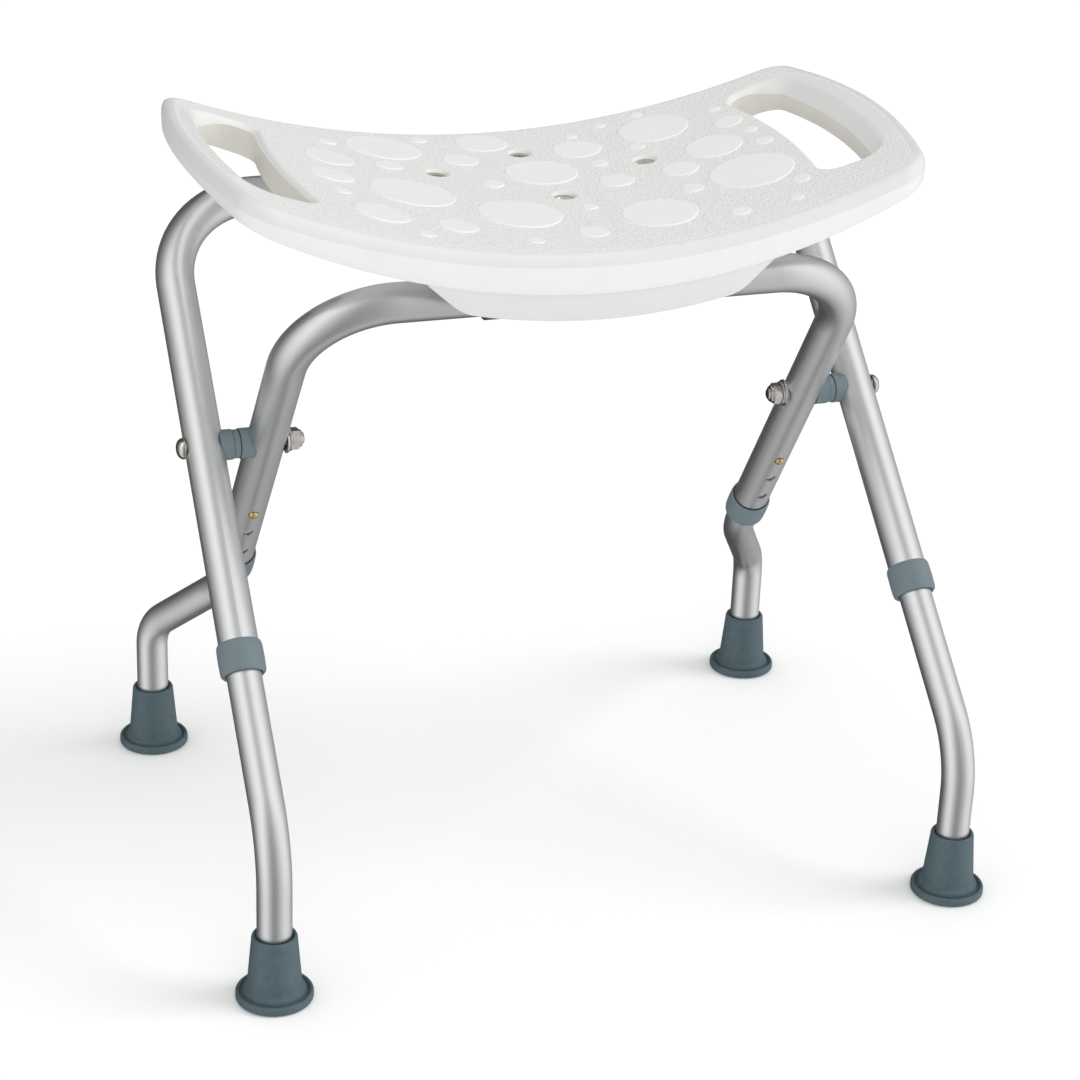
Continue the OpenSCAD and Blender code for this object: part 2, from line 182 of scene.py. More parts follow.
def aluminium():
    mat, tree, shader = material("aluminium_satin", 0.3, 1.0)
    tint(tree, shader, noise(tree, 900, 2), (0.69, 0.695, 0.70), (0.71, 0.715, 0.72))
    roughen(tree, shader, noise(tree, 900, 2), 0.37, 0.41)
    return mat


def blue_grey(name, low, high, roughness):
    mat, tree, shader = material(name, roughness)
    tint(tree, shader, noise(tree, 260, 4), low, high)
    roughen(tree, shader, noise(tree, 420, 3), roughness - 0.05, roughness + 0.08)
    bump(tree, shader, noise(tree, 1300, 3), 0.16, 0.0003)
    return mat


def metal(name, low, high, roughness):
    mat, tree, shader = material(name, roughness, 1.0)
    tint(tree, shader, noise(tree, 700, 3), low, high)
    roughen(tree, shader, noise(tree, 900, 3), roughness - 0.04, roughness + 0.07)
    return mat


MATS = {
    "aluminium": aluminium(),
    "blue_grey_rubber": blue_grey("rubber_blue_grey", (0.060, 0.100, 0.116),
                                  (0.070, 0.113, 0.131), 0.5),
    "blue_grey_plastic": blue_grey("plastic_blue_grey", (0.140, 0.188, 0.206),
                                   (0.152, 0.202, 0.222), 0.42),
    "brass": metal("brass_button", (0.70, 0.50, 0.24), (0.78, 0.57, 0.30), 0.28),
    "spring_steel": metal("spring_steel", (0.50, 0.51, 0.52), (0.58, 0.59, 0.60), 0.32),
    "nickel_plated_steel": metal("nickel_plated", (0.55, 0.52, 0.48), (0.64, 0.61, 0.57), 0.11),
    "zinc_plated_steel": metal("zinc_plated", (0.60, 0.61, 0.62), (0.68, 0.69, 0.70), 0.34),
}
PEBBLE = white_pebble()
SKIRT = white_smooth("white_plastic_smooth", (0.775, 0.775, 0.77), (0.79, 0.79, 0.785), 0.36)
# painted shade: the rounded band along the top's edge is the same white plastic painted darker
BAND_PAINTED_SHADE = white_smooth("white_plastic_band_painted_shade", (0.70, 0.70, 0.695), (0.715, 0.715, 0.71), 0.4)
# painted light: the discs are the same white plastic painted lighter than the field
DISC_PAINTED_LIGHT = white_smooth("white_plastic_disc_painted_light", (0.855, 0.855, 0.85), (0.87, 0.87, 0.865), 0.4)
# painted shade: the hand openings' upper walls are the same white plastic painted darker and beige,
# for the shade inside them
WALL_PAINTED_SHADE = white_smooth("white_plastic_walls_painted_shade", (0.66, 0.645, 0.59), (0.68, 0.665, 0.61), 0.45)
# painted shade: the drain holes' bores are the same white plastic painted dark yellow-grey, for the
# shade inside them
DRAIN_PAINTED_SHADE = white_smooth("white_plastic_drains_painted_shade", (0.50, 0.48, 0.36), (0.53, 0.51, 0.39), 0.5)
# painted shade: the boss under the rim's step is the same white plastic painted darker than the
# skirt
BOSS_PAINTED_SHADE = white_smooth("white_plastic_boss_painted_shade", (0.695, 0.695, 0.69), (0.71, 0.71, 0.705), 0.38)
# the seat's materials, and the number of each one on its faces; the band, disc, wall, drain and boss
# ones are the one white plastic painted darker or lighter, as painted shade and painted light
WHITES = [PEBBLE, SKIRT, BAND_PAINTED_SHADE, DISC_PAINTED_LIGHT, WALL_PAINTED_SHADE, BOSS_PAINTED_SHADE, DRAIN_PAINTED_SHADE]
ON_FIELD, ON_SKIRT, ON_BAND_PAINTED_SHADE, ON_DISC_PAINTED_LIGHT, ON_WALL_PAINTED_SHADE, ON_BOSS_PAINTED_SHADE, ON_DRAIN_PAINTED_SHADE = range(len(WHITES))


def dress_cad():
    """Every CAD node gets the node material of its slot in the record."""
    for entry in frame["record"]["subparts"]:
        mat = MATS.get(entry["material_slot"], SKIRT)
        obj = frame["nodes"][entry["node"]]
        if not obj.material_slots:
            obj.data.materials.append(mat)
        for place in obj.material_slots:
            place.material = mat


# ---------- mesh building ----------

WELD = 0.01


class Build:
    """Vertices in millimetres and faces with a material number."""

    def __init__(self):
        self.verts, self.faces, self.mats = [], [], []

    def points(self, rows):
        start = len(self.verts)
        self.verts.extend(tuple(p) for p in rows)
        return list(range(start, len(self.verts)))

    def face(self, ids, mat=0):
        self.faces.append(tuple(ids))
        self.mats.append(mat)

    def bridge(self, a, b, mat=0, closed=True):
        n = len(a)
        for i in range(n if closed else n - 1):
            j = (i + 1) % n
            self.face((a[i], a[j], b[j], b[i]), mat)

    def rings(self, rows, mat=0, closed=True):
        ids = [self.points(r) for r in rows]
        for a, b in zip(ids, ids[1:]):
            self.bridge(a, b, mat, closed)
        return ids

    def make(self, name, mats, crease=32):
        mesh = bpy.data.meshes.new(name)
        mesh.from_pydata([[c * MM for c in v] for v in self.verts], [], self.faces)
        for mat in mats:
            mesh.materials.append(mat)
        mesh.polygons.foreach_set("material_index", self.mats)
        work = bmesh.new()
        work.from_mesh(mesh)
        bmesh.ops.remove_doubles(work, verts=work.verts, dist=WELD * MM)
        bmesh.ops.recalc_face_normals(work, faces=work.faces)
        for edge in work.edges:
            edge.smooth = edge.calc_face_angle(0.0) < math.radians(crease)
        for face in work.faces:
            face.smooth = True
        work.to_mesh(mesh)
        work.free()
        obj = bpy.data.objects.new(name, mesh)
        bpy.context.scene.collection.objects.link(obj)
        return obj


def soften(profile, size, steps=4):
    """Rounds each inner corner of an open (r, z) profile."""
    out = [profile[0]]
    for a, b, c in zip(profile, profile[1:], profile[2:]):
        a, b, c = Vector(a), Vector(b), Vector(c)
        cut_a = min(size, (a - b).length * 0.45)
        cut_c = min(size, (c - b).length * 0.45)
        p = b + (a - b).normalized() * cut_a
        q = b + (c - b).normalized() * cut_c
        for k in range(steps + 1):
            t = k / steps
            out.append(tuple(p * (1 - t) ** 2 + b * 2 * t * (1 - t) + q * t * t))
    out.append(profile[-1])
    return out


def axes(z):
    """A right-handed set of axes whose third one is z."""
    z = Vector(z).normalized()
    x = (Vector((1, 0, 0)) if abs(z.x) < 0.9 else Vector((0, 1, 0))).cross(z).normalized()
    return x, z.cross(x), z


def lathe(build, profile, origin, axis, n=96, limit=None):
    """Turns an (r, height) profile round an axis; limit(angle) caps the radius, as on a hexagon."""
    x, y, z = axes(axis)
    rows = []
    for r, h in profile:
        row = []
        for k in range(n):
            a = 2 * math.pi * k / n
            rad = min(r, limit(a)) if limit else r
            row.append(Vector(origin) + x * rad * math.cos(a) + y * rad * math.sin(a) + z * h)
        rows.append(row)
    build.rings(rows)


def piece(build, name, mats, body, slot, *nodes, crease=32):
    obj = build.make(name, mats, crease=crease)
    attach(obj, body)
    if nodes:
        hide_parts(*nodes)
    return obj


# ---------- directions of the frames ----------

def up(front, side):
    """The direction up a leg."""
    if front:
        return Vector((-side * OUTER_SPLAY, math.sin(OUTER_LEAN), math.cos(OUTER_LEAN))).normalized()
    return Vector((-side * INNER_SPLAY, -math.sin(INNER_LEAN), math.cos(INNER_LEAN))).normalized()


def under(front):
    """The direction out of a leg's lower side, where its button is."""
    lean = OUTER_LEAN if front else INNER_LEAN
    sign = 1 if front else -1
    return Vector((0, sign * math.cos(lean), -math.sin(lean)))


def down_leg(front, side, along):
    """A point on a leg's centreline, that far below the pivot."""
    start = Vector((side * (OUTER_X if front else INNER_X), PIVOT_Y, PIVOT_Z))
    return start - along * up(front, side)


CORNERS = [(e, s) for e in ("front", "back") for s in ("left", "right")]


def signs(end, side):
    return end == "front", (-1 if side == "left" else 1)


# ---------- feet, collars, buttons ----------

def foot(end, side):
    front, s = signs(end, side)
    profile = soften([
        (0, 1.2), (9, 1.2), (9.6, 0.3), (11.4, 0.3), (12, 1.2), (15.6, 1.2), (16.2, 0), (23.2, 0),
        (24.5, 1), (24.5, 4.8), (23.5, 6.0), (22.1, 5.8), (21.4, 4.4), (20.3, 4.3), (19.8, 6.2),
        (19.1, 7.9), (17.8, 8.4), (17.3, 10.5), (14.6, 41), (14.5, 43.4), (13.7, 45), (12.5, 45),
        (11.6, 43.6), (11.2, 41), (11.2, 5.1), (0, 5.1)], 0.7)
    build = Build()
    lathe(build, profile, (s * FOOT_X, (-1 if front else 1) * FOOT_Y, 0), (0, 0, 1))
    piece(build, f"rubber_foot_{end}_{side}", [MATS["blue_grey_rubber"]],
          f"leg_{end}_{side}", "blue_grey_rubber", f"foot_{end}_{side}")


def collar(end, side):
    front, s = signs(end, side)
    low = (OUTER_END if front else INNER_END) + 2
    profile = soften([
        (LEG_R + 0.3, 2), (LEG_R + 0.3, 0.7), (LEG_R + 1.0, 0), (13.1, 0), (14.3, 1.2),
        (14.6, 3.4), (14.75, 10), (14.6, 17.8), (14.3, 20.0), (13.7, 21), (13.2, 20.7),
        (12.95, 19.6), (12.78, 18)], 0.6)
    build = Build()
    lathe(build, profile, down_leg(front, s, low), up(front, s))
    piece(build, f"end_collar_{end}_{side}", [MATS["blue_grey_plastic"]],
          "outer_frame" if front else "inner_frame", "blue_grey_plastic", f"collar_{end}_{side}")


def button(end, side):
    front, s = signs(end, side)
    top = TUBE_R + BUTTON_OUT - PIN_FOOT
    profile = soften([(0, 0), (4.1, 0), (4.1, 0.9), (3.1, 0.9), (3.1, top - 1.6),
                      (2.7, top - 0.6), (1.7, top - 0.1), (0.6, top), (0, top)], 0.4)
    build = Build()
    normal = under(front)
    lathe(build, profile, down_leg(front, s, HOLE_FROM) + PIN_FOOT * normal, normal, 48)
    piece(build, f"button_pin_{end}_{side}", [MATS["brass"]],
          f"button_{end}_{side}", "brass", f"snap_button_{end}_{side}")


# ---------- pivots ----------

def pivot(side):
    s = -1 if side == "left" else 1
    out = (s, 0, 0)

    def turned(name, profile, slot, body, node, size=0.4, limit=None, crease=32):
        build = Build()
        lathe(build, soften(profile, size), (0, PIVOT_Y, PIVOT_Z), out, 96, limit)
        piece(build, f"{name}_{side}", [MATS[slot]], body, slot, node, crease=crease)

    turned("bolt", [(0, NUT_X - 9.2), (3.2, NUT_X - 9.2), (4, NUT_X - 8.4), (4, HEAD_X),
                    (6.6, HEAD_X), (7, HEAD_X + 0.5), (6.9, HEAD_X + 1.6), (6.2, HEAD_X + 3.1),
                    (4.9, HEAD_X + 4.3), (3, HEAD_X + 5.1), (1.2, HEAD_X + 5.4),
                    (0, HEAD_X + 5.4)], "nickel_plated_steel", "outer_frame",
           f"pivot_bolt_{side}", 0.8)
    base = NUT_X - 7.6
    turned("lock_nut", [(4.1, base + 0.5), (4.6, base), (5.2, base), (5.7, base + 0.7),
                        (5.8, base + 1.9), (6.5, base + 2.0), (7.5, base + 2.7),
                        (7.5, base + 6.8), (6.6, base + 7.5), (4.1, base + 7.5)],
           "nickel_plated_steel", "outer_frame", f"pivot_nut_{side}", 0.25,
           lambda a: 6.5 / math.cos((a + math.pi / 6) % (math.pi / 3) - math.pi / 6), 24)
    turned("flat_washer", [(4.1, NUT_X), (7.9, NUT_X), (8, NUT_X + 0.2), (8, NUT_X + 1.1),
                           (7.9, NUT_X + 1.3), (4.1, NUT_X + 1.3)], "zinc_plated_steel",
           "outer_frame", f"nut_washer_{side}", 0.2)
    turned("cup_washer", [(4.2, NUT_X + 1.5), (8.2, NUT_X + 1.5), (8.9, NUT_X + 2.0),
                          (9.2, NUT_X + 3.0), (9.2, NUT_X + 3.5), (4.2, NUT_X + 3.5)],
           "nickel_plated_steel", "inner_frame", f"nut_saddle_{side}", 0.2)
    start, stop = INNER_X + TUBE_R + 5.4, OUTER_X - TUBE_R - 5.3
    turned("barrel", [(4.2, start), (8.9, start), (9.4, start + 0.5), (9.4, stop - 0.5),
                      (8.9, stop), (4.2, stop)], "blue_grey_plastic", "outer_frame",
           f"spacer_barrel_{side}", 0.3)


# ---------- the seat: outlines ----------

def ring(half_x, half_y, r, arc, runs):
    """A rounded rectangle with a fixed number of points, so that rings match by number."""
    out = []
    for q in range(4):
        sx, sy = (1, -1, -1, 1)[q], (1, 1, -1, -1)[q]
        for k in range(arc + 1):
            a = math.pi / 2 * (q + k / arc)
            out.append((sx * (half_x - r) + r * math.cos(a), sy * (half_y - r) + r * math.sin(a)))
        a = math.pi / 2 * (q + 1)
        nx, ny = (1, -1, -1, 1)[(q + 1) % 4], (1, 1, -1, -1)[(q + 1) % 4]
        p = out[-1]
        e = (nx * (half_x - r) + r * math.cos(a), ny * (half_y - r) + r * math.sin(a))
        run = runs[q % 2]
        out.extend((p[0] + (e[0] - p[0]) * k / run, p[1] + (e[1] - p[1]) * k / run)
                   for k in range(1, run))
    return out


def outline(e):
    """The seat's plan, inset by e."""
    x, y = SEAT_X - e, SEAT_Y - e
    return [(px - math.copysign(END_BOW * (py / y) ** 2 * abs(px / x), px),
             py - math.copysign(SIDE_BOW * (px / x) ** 2 * abs(py / y), py))
            for px, py in ring(x, y, max(CORNER_R - e, 3.0), 10, (72, 40))]


def slot_loop(e, side):
    """A hand opening's plan, inset by e, or grown where e is negative."""
    half, mid, length = (SLOT_OUT - SLOT_IN) / 2 - e, (SLOT_OUT + SLOT_IN) / 2, SLOT_HALF - e
    return [(side * (mid + px - SLOT_BOW * (py / SLOT_HALF) ** 2), py + SLOT_BACK)
            for px, py in ring(half, length, min(SLOT_CORNER - e, half - 1), 9, (6, 30))]


def circle(x, y, r, n):
    return [(x + r * math.cos(2 * math.pi * k / n), y + r * math.sin(2 * math.pi * k / n))
            for k in range(n)]


def arc_z(radius, low, x):
    """Height at x of an arc that is lowest, at low, where x is 0."""
    return low + radius - math.sqrt(radius * radius - x * x)


def lift(h, y):
    """Height of a point of the tilted seat whose untilted height is h."""
    return h / math.cos(RISE) + math.tan(RISE) * y


def top_z(x, y):
    return lift(arc_z(SEAT_ARC, SEAT_Z, x), y)


def skin_z(x, y):
    return lift(arc_z(SEAT_ARC + SKIN, SEAT_Z - SKIN, x), y)


def rim_low(x, y):
    return lift(arc_z(RIM_ARC, RIM_Z, x), y)


def smooth_step(t):
    t = min(max(t, 0.0), 1.0)
    return t * t * (3 - 2 * t)


def field_z(x, y):
    """The top face with its raised discs."""
    rise = 0.0
    for dx, dy, r in DISCS:
        d = math.hypot(x - dx, y - dy)
        if d < r + DISC_FLANK:
            rise = DISC_RISE * smooth_step((r + DISC_FLANK - d) / DISC_FLANK)
    return top_z(x, y) + rise


def inside(poly, pts):
    """Which of pts, an array, are inside the closed polygon."""
    poly = np.asarray(poly)
    found = np.zeros(len(pts), bool)
    x, y = pts[:, 0], pts[:, 1]
    for (x0, y0), (x1, y1) in zip(poly, np.roll(poly, -1, 0)):
        if y0 != y1:
            found ^= ((y0 > y) != (y1 > y)) & (x < (x1 - x0) * (y - y0) / (y1 - y0) + x0)
    return found


def world(pts, height):
    """Seat points to the shared frame."""
    return [(x, y + SEAT_BACK, height(x, y)) for x, y in pts]


def grid_points(border, gaps, discs):
    """A triangular grid inside border, clear of gaps, of the drains and of the discs' edges."""
    grid = np.array([((i + (j % 2) / 2) * GRID_STEP, j * GRID_STEP * 0.87)
                     for i in range(-33, 34) for j in range(-21, 22)], float)
    keep = inside(border, grid)
    for loop in gaps:
        keep &= ~inside(loop, grid)
    for dx, dy, r in discs:
        keep &= abs(np.hypot(grid[:, 0] - dx, grid[:, 1] - dy) - r - DISC_FLANK / 2) > 4
    for dx, dy in DRAINS:
        keep &= np.hypot(grid[:, 0] - dx, grid[:, 1] - dy) > 13
    return [tuple(p) for p in grid[keep]]


def sheet(build, outer, holes, extra, grid, height, finish):
    """Fills the area inside outer and outside holes with triangles, lifted to height."""
    pts, edges = [], []
    for loop in [outer] + holes + extra:
        start, n = len(pts), len(loop)
        pts.extend(loop)
        edges.extend((start + k, start + (k + 1) % n) for k in range(n))
    got = delaunay_2d_cdt([Vector(p) for p in pts + grid], edges, [], 0, 1e-5)
    flat = np.array([tuple(v) for v in got[0]])
    tris = np.array([t for t in got[2] if len(t) == 3])
    mid = flat[tris].mean(1)
    good = inside(outer, mid)
    for loop in holes:
        good &= ~inside(loop, mid)
    ids = build.points(world(flat, height))
    for t in tris[good]:
        x, y = flat[t].mean(0)
        build.face([ids[k] for k in t], finish(x, y))


# ---------- the seat: parts of the moulding ----------

def rim_inset(x):
    """Width of the rounded edge, which is wider at the seat's ends."""
    return RIM_WIDTH + RIM_EXTRA * abs(x / SEAT_X) ** 4


def curve(a, b, c, t):
    """A point of the curve that leaves a toward b and ends at c."""
    return tuple(p * (1 - t) ** 2 + q * 2 * t * (1 - t) + r * t * t for p, q, r in zip(a, b, c))


def pick(loops, amount):
    """Point k of a ring inset by amount(k), from two rings with the same numbering."""
    a, b, gap = loops
    return [tuple(p + (q - p) * amount(k) / gap for p, q in zip(a[k], b[k]))
            for k in range(len(a))]


def rim_rings(steps=8):
    """The inner edge of the rounded rim, and its rings from there to the skirt."""
    edge, deep = outline(0), outline(10)
    width = [rim_inset(x) for x, y in edge]
    start = pick((edge, deep, 10), lambda k: width[k])
    begin, corner = world(start, top_z), world(edge, top_z)
    end = [(x, y, z - w * RIM_FALL) for (x, y, z), w in zip(corner, width)]
    rows = [[curve(*three, step / steps) for three in zip(begin, corner, end)]
            for step in range(steps + 1)]
    return start, rows


def above_rim_low(loop, z):
    """A ring at the height z over the rim's lower edge."""
    return world(loop, lambda x, y: rim_low(x, y) + z)


def seat_rim(build, rows):
    """The rim's rounded edge, its skirt and the inside of the skirt."""
    build.rings(rows[:2], ON_FIELD)
    # the rounded edge below its first ring is painted darker: painted shade
    build.rings(rows[1:], ON_BAND_PAINTED_SHADE)
    section = [(0.15, 5), (0.3, 0.9), (0.55, 0.25), (1.2, 0), (3.2, 0), (SKIN, 0.5)]
    lower = [above_rim_low(outline(e), z) for e, z in section]
    build.rings([rows[-1]] + lower + [world(outline(SKIN), skin_z)], ON_SKIRT)


def slot_lip(side, steps=6):
    """A hand opening's lip: its outer edge, its rings, and a loop just outside them."""
    loop, wide = slot_loop(0, side), slot_loop(-8, side)
    mid = side * (SLOT_IN + SLOT_OUT) / 2
    outer = [smooth_step(0.5 + side * (x - mid) / LIP_BLEND) for x, y in loop]
    start = pick((loop, wide, 8), lambda k: LIP_WIDTH + LIP_WIDER * outer[k])
    support = pick((loop, wide, 8), lambda k: LIP_WIDTH + LIP_WIDER * outer[k] + 1)
    halfway = [((ax + bx) / 2, (ay + by) / 2) for (ax, ay), (bx, by) in zip(start, loop)]
    begin, corner = world(start, top_z), world(halfway, top_z)
    end = [(x, y, z - LIP_DEPTH - LIP_DEEPER * o)
           for (x, y, z), o in zip(world(loop, top_z), outer)]
    rows = [[curve(*three, step / steps) for three in zip(begin, corner, end)]
            for step in range(steps + 1)]
    return start, rows, support


def seat_slot(build, side, rows):
    """A hand opening's lip and its wall, which is open to the underside."""
    build.rings(rows, ON_SKIRT)
    section = [(0, 1), (-0.3, 0.3), (-0.9, 0), (-2.3, 0), (-2.9, 0.3), (-SLOT_WALL, 1)]
    wall = [above_rim_low(slot_loop(e, side), z) for e, z in section]
    # the lip's foot and the upper wall are painted darker and beige: painted shade inside the
    # opening
    build.rings([rows[-1]] + wall[:3], ON_WALL_PAINTED_SHADE)
    build.rings(wall[2:] + [world(slot_loop(-SLOT_WALL, side), skin_z)], ON_SKIRT)


def seat_drain(build, x, y):
    profile = [(DRAIN_LIP, 0), (8.6, 0.1), (8.1, 0.4), (7.6, 0.9), (7.1, 1.6), (DRAIN_R, 2)]
    rows = [world(circle(x, y, r, DRAIN_POINTS), lambda px, py: top_z(px, py) - d)
            for r, d in profile]
    build.rings(rows, ON_SKIRT)
    # the bore is painted dark: painted shade inside the hole
    build.rings([rows[-1], world(circle(x, y, DRAIN_R, DRAIN_POINTS), skin_z)], ON_DRAIN_PAINTED_SHADE)


def drain_circles(r):
    return [circle(x, y, r, DRAIN_POINTS) for x, y in DRAINS]


def top_finish(x, y):
    """Discs, drain collars and the grip outside each hand opening are smooth; the discs are also
    painted lighter than the field, which is painted light.
    """
    if any(math.hypot(x - dx, y - dy) < r + DISC_FLANK for dx, dy, r in DISCS):
        return ON_DISC_PAINTED_LIGHT
    if any(math.hypot(x - dx, y - dy) < DRAIN_COLLAR for dx, dy in DRAINS):
        return ON_SKIRT
    on_grip = abs(x) > SLOT_OUT and abs(y - SLOT_BACK) < HANDLE_HALF
    return ON_SKIRT if on_grip else ON_FIELD


def seat_top(build, start, lips):
    extra = []
    for x, y, r in DISCS:
        n = max(24, int(2 * math.pi * r / 2.4))
        extra += [circle(x, y, r + g, n) for g in (-0.6, 0, DISC_FLANK / 2, DISC_FLANK,
                                                   DISC_FLANK + 0.6)]
    extra += drain_circles(DRAIN_COLLAR) + [outline(11.2)] + [lip[2] for lip in lips]
    holes = [lip[0] for lip in lips] + drain_circles(DRAIN_LIP)
    grid = grid_points(outline(14), [slot_loop(-11, s) for s in (-1, 1)], DISCS)
    sheet(build, start, holes, extra, grid, field_z, top_finish)


def seat_underside(build):
    holes = [slot_loop(-SLOT_WALL, s) for s in (-1, 1)] + drain_circles(DRAIN_R)
    grid = grid_points(outline(9), [slot_loop(-8, s) for s in (-1, 1)], [])
    sheet(build, outline(SKIN), holes, [], grid, skin_z, lambda x, y: ON_SKIRT)


def side_y(x, e):
    """Half depth of the seat's plan at x, inset by e."""
    return SEAT_Y - e - SIDE_BOW * (x / (SEAT_X - e - END_BOW)) ** 2


def boss_low(x):
    """Height of the boss's lower edge: an arc, then a slope at each end, blended together."""
    def raw(u):
        u = abs(u)
        if u < BOSS_FOOT:
            return arc_z(BOSS_ARC, BOSS_Z, u)
        return BOSS_Z + BOSS_FOOT_RISE + (u - BOSS_FOOT) * BOSS_SLOPE

    return sum(raw(x + d) for d in (-6, -4, -2, 0, 2, 4, 6)) / 7


def seat_boss(build, face):
    """The deeper middle part of the front or back skirt, a step behind the rim's face."""
    rows = []
    section = ((1.3, 3, True), (1.3, 0.9, False), (1.6, 0.2, False), (2.2, 0, False),
               (3.3, 0, False), (3.9, 0.5, False), (3.9, 3, True))
    for e, up_by, at_top in section:
        row = []
        for x in range(-BOSS_HALF, BOSS_HALF + 1, 2):
            y = face * side_y(x, e)
            top = rim_low(x, y) + up_by
            low = min(lift(boss_low(x), y) + up_by, top)
            row.append((x, y + SEAT_BACK, top if at_top else low))
        rows.append(row)
    # the boss's face is painted darker: painted shade under the rim's step
    build.rings(rows[:4], ON_BOSS_PAINTED_SHADE, closed=False)
    build.rings(rows[3:], ON_SKIRT, closed=False)


def prism(build, outline_yz, x0, x1):
    """A plate across X whose outline is in Y and Z of the shared frame."""
    a = build.points([(x0, y, z) for y, z in outline_yz])
    b = build.points([(x1, y, z) for y, z in outline_yz])
    build.bridge(a, b, ON_SKIRT)
    build.face(a, ON_SKIRT)
    build.face(b[::-1], ON_SKIRT)


def over_bar(bar, n=16):
    """The half circle over a crossbar, from its front side to its back side."""
    y, z = bar
    return [(y - CHANNEL_R * math.cos(math.pi * k / n), z + CHANNEL_R * math.sin(math.pi * k / n))
            for k in range(n + 1)]


def over_shelf():
    """The part of the rear bar's half circle that is over the open channel's shelf."""
    return [p for p in over_bar(REAR_BAR) if p[1] > REAR_BAR[1] + SHELF_UP]


def seat_ribs(build):
    front, back = SEAT_BACK - SEAT_Y + 3, SEAT_BACK + SEAT_Y - 3
    (front_y, _), (rear_y, rear_z) = FRONT_BAR, REAR_BAR
    for x in RIB_X:
        low = boss_low(x) + 1.5
        path = [(front, low), (front_y - CHANNEL_R, low)] + over_bar(FRONT_BAR)
        path += [(front_y + CHANNEL_R, low), (rear_y - SHELF_LENGTH, low),
                 (rear_y - SHELF_LENGTH, rear_z + SHELF_UP)]
        path += over_shelf() + [(rear_y + CHANNEL_R, low), (back, low)]
        over = [(y, skin_z(x, y - SEAT_BACK) + 0.8) for y in (back, front)]
        prism(build, path + over, x - RIB_HALF, x + RIB_HALF)


def seat_blocks(build):
    """The blocks that the straps are screwed to, and those of the clip on the rear bar."""
    for x in (-BLOCK_X, BLOCK_X):
        y, z = FRONT_BAR
        top = skin_z(x, y - SEAT_BACK) + 1
        path = [(y - FRONT_BLOCK, z)] + over_bar(FRONT_BAR)
        path += [(y + FRONT_BLOCK, z), (y + FRONT_BLOCK, top), (y - FRONT_BLOCK, top)]
        prism(build, path, x - BLOCK_HALF, x + BLOCK_HALF)
        y, z = REAR_BAR
        top = skin_z(x, y - SEAT_BACK) + 1
        path = [(y - REAR_BLOCK, z + SHELF_UP)] + over_shelf()
        path += [(y + CHANNEL_R, z - CLIP_DOWN), (y + REAR_BLOCK, z - CLIP_DOWN),
                 (y + REAR_BLOCK, top), (y - REAR_BLOCK, top)]
        prism(build, path, x - BLOCK_HALF, x + BLOCK_HALF)


def seat():
    build = Build()
    start, rows = rim_rings()
    lips = [slot_lip(s) for s in (-1, 1)]
    seat_top(build, start, lips)
    seat_rim(build, rows)
    for s, lip in zip((-1, 1), lips):
        seat_slot(build, s, lip[1])
    for x, y in DRAINS:
        seat_drain(build, x, y)
    seat_underside(build)
    for face in (-1, 1):
        seat_boss(build, face)
    seat_ribs(build)
    seat_blocks(build)
    piece(build, "seat_moulding", WHITES, "seat", "white_plastic", "seat", crease=30)


# ---------- floor, light and camera ----------

FLOOR_HALF = 20000
ROOM_TURN = math.radians(110.4)
EVEN_LIGHT = 0.84
CAMERA_AT = (-0.5998, -1.6044, 0.9631)
CAMERA_YAW, CAMERA_PITCH, CAMERA_ROLL = map(math.radians, (20.37, 23.755, 2.3))
CAMERA_LENS, SENSOR_WIDTH = 92.36, 36.0


def floor():
    h = FLOOR_HALF
    build = Build()
    build.face(build.points([(-h, -h, 0), (h, -h, 0), (h, h, 0), (-h, h, 0)]))
    mat, tree, shader = material("floor_white", 0.95)
    tint(tree, shader, noise(tree, 2), (0.985, 0.985, 0.985), (0.99, 0.99, 0.99))
    shader.inputs["Specular IOR Level"].default_value = 0.0
    obj = build.make("floor", [mat])
    obj.visible_glossy = False


def area(name, place, aim, size, power):
    light = bpy.data.lights.new(name, "AREA")
    light.shape = "RECTANGLE"
    light.size, light.size_y = size
    light.energy = power
    obj = bpy.data.objects.new(name, light)
    obj.location = place
    obj.rotation_euler = (Vector(aim) - Vector(place)).to_track_quat("-Z", "Y").to_euler()
    obj.visible_glossy = False
    bpy.context.scene.collection.objects.link(obj)


def sun(toward, strength):
    """A broad, even light from the right and above."""
    light = bpy.data.lights.new("soft_sun", "SUN")
    light.energy = strength
    light.angle = math.radians(30)
    obj = bpy.data.objects.new("soft_sun", light)
    obj.rotation_euler = (-Vector(toward)).to_track_quat("-Z", "Y").to_euler()
    obj.visible_glossy = False
    bpy.context.scene.collection.objects.link(obj)


def levels(tree, fac, stops):
    """Turns a place from 0 to 1 into a brightness."""
    ramp = tree.nodes.new("ShaderNodeValToRGB")
    ramp.color_ramp.interpolation = "EASE"
    while len(ramp.color_ramp.elements) < len(stops):
        ramp.color_ramp.elements.new(0.5)
    for element, (at, level) in zip(ramp.color_ramp.elements, stops):
        element.position = at
        element.color = (level, level, level, 1)
    tree.links.new(fac, ramp.inputs["Fac"])
    return ramp.outputs["Color"]


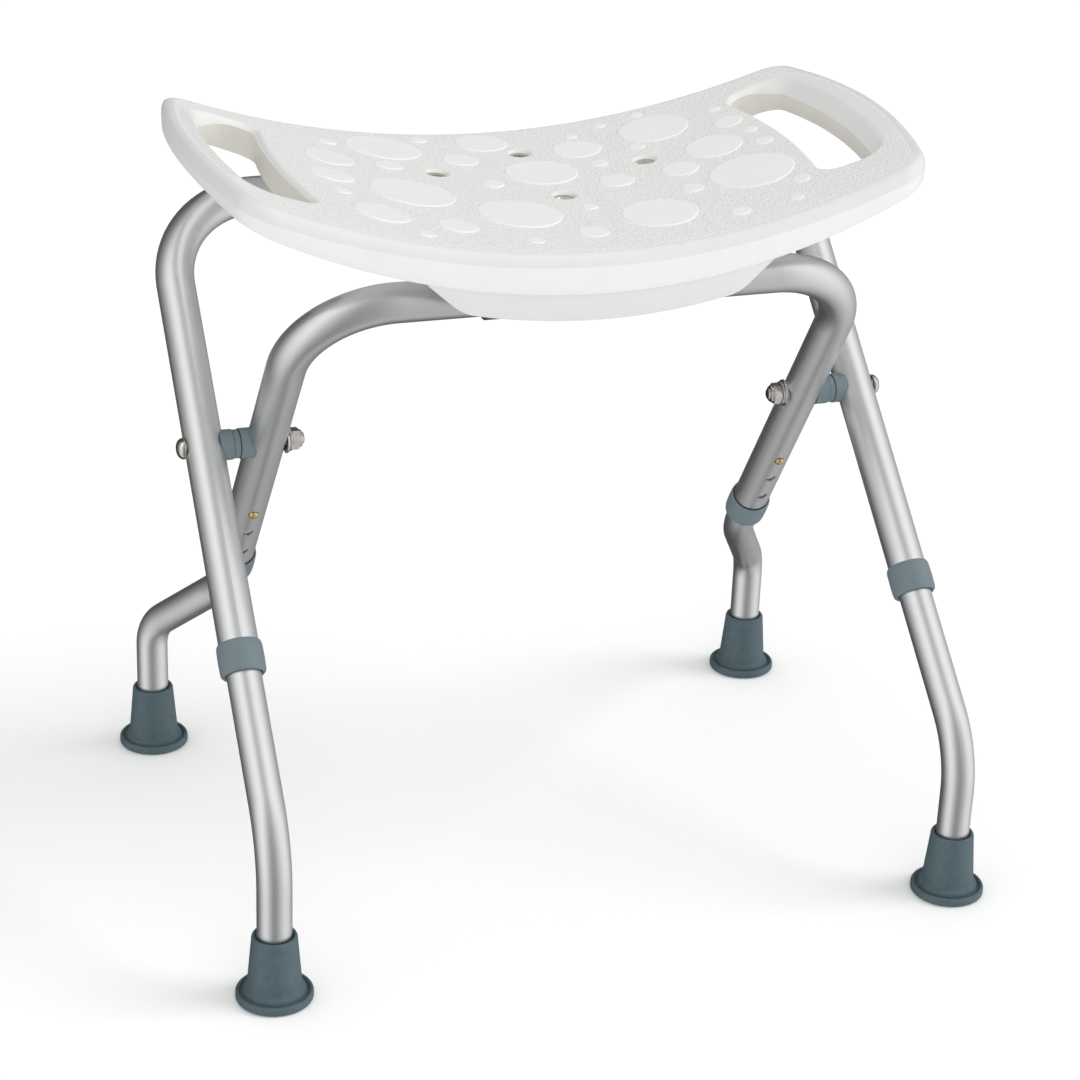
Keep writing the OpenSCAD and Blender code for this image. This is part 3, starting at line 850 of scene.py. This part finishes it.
def surroundings():
    """An even white light, and a soft room that only reflections show: bright to both sides,
    greyer toward the front, dark behind the stool, and dimmer low down."""
    studio = bpy.data.worlds.new("studio")
    bpy.context.scene.world = studio
    studio.use_nodes = True
    tree = studio.node_tree
    back = tree.nodes["Background"]
    place = tree.nodes.new("ShaderNodeTexCoord")
    turn = tree.nodes.new("ShaderNodeMapping")
    turn.inputs["Rotation"].default_value = (0, 0, ROOM_TURN)
    dial = tree.nodes.new("ShaderNodeTexGradient")
    dial.gradient_type = "RADIAL"
    round_about = levels(tree, dial.outputs["Fac"], [
        (0.0, 0.12), (0.13, 0.05), (0.23, 0.30), (0.30, 1.05), (0.37, 1.35), (0.44, 0.72),
        (0.5, 0.28), (0.56, 0.42), (0.62, 0.75), (0.69, 1.15), (0.77, 1.20), (0.87, 0.55),
        (1.0, 0.12)])
    split = tree.nodes.new("ShaderNodeSeparateXYZ")
    height = tree.nodes.new("ShaderNodeMapRange")
    height.inputs["From Min"].default_value = -1.0
    tree.links.new(place.outputs["Generated"], split.inputs["Vector"])
    tree.links.new(split.outputs["Z"], height.inputs["Value"])
    over = levels(tree, height.outputs["Result"], [
        (0.0, 0.62), (0.25, 0.85), (0.42, 0.95), (0.56, 0.98), (0.72, 1.0), (0.88, 1.2)])
    tree.links.new(place.outputs["Generated"], turn.inputs["Vector"])
    tree.links.new(turn.outputs["Vector"], dial.inputs["Vector"])
    tree.links.new(round_about, back.inputs["Color"])
    tree.links.new(over, back.inputs["Strength"])
    rays = tree.nodes.new("ShaderNodeLightPath")
    even = tree.nodes.new("ShaderNodeBackground")
    both = tree.nodes.new("ShaderNodeMixShader")
    even.inputs["Color"].default_value = (1, 1, 1, 1)
    even.inputs["Strength"].default_value = EVEN_LIGHT
    tree.links.new(rays.outputs["Is Glossy Ray"], both.inputs["Fac"])
    tree.links.new(even.outputs["Background"], both.inputs[1])
    tree.links.new(back.outputs["Background"], both.inputs[2])
    tree.links.new(both.outputs["Shader"], tree.nodes["World Output"].inputs["Surface"])


def camera():
    yaw, pitch, roll = CAMERA_YAW, CAMERA_PITCH, CAMERA_ROLL
    right = Vector((math.cos(yaw), -math.sin(yaw), 0))
    ahead = Vector((math.sin(yaw) * math.cos(pitch), math.cos(yaw) * math.cos(pitch),
                    -math.sin(pitch)))
    upward = right.cross(ahead)
    x = right * math.cos(roll) + upward * math.sin(roll)
    y = upward * math.cos(roll) - right * math.sin(roll)
    data = bpy.data.cameras.new("camera")
    data.lens = CAMERA_LENS
    data.sensor_width = SENSOR_WIDTH
    data.clip_end = 100
    obj = bpy.data.objects.new("camera", data)
    matrix = Matrix((x, y, -ahead)).transposed().to_4x4()
    matrix.translation = Vector(CAMERA_AT)
    obj.matrix_world = matrix
    bpy.context.scene.collection.objects.link(obj)
    bpy.context.scene.camera = obj


dress_cad()
for corner in CORNERS:
    foot(*corner)
    collar(*corner)
    button(*corner)
for hand in ("left", "right"):
    pivot(hand)
seat()
floor()
surroundings()
sun((1.8, -0.5, 1.7), 1.0)
area("front", (-0.4, -2.5, 0.9), (0, 0, 0.4), (1.6, 1.2), 8)
camera()
bpy.context.scene.view_settings.view_transform = "Standard"
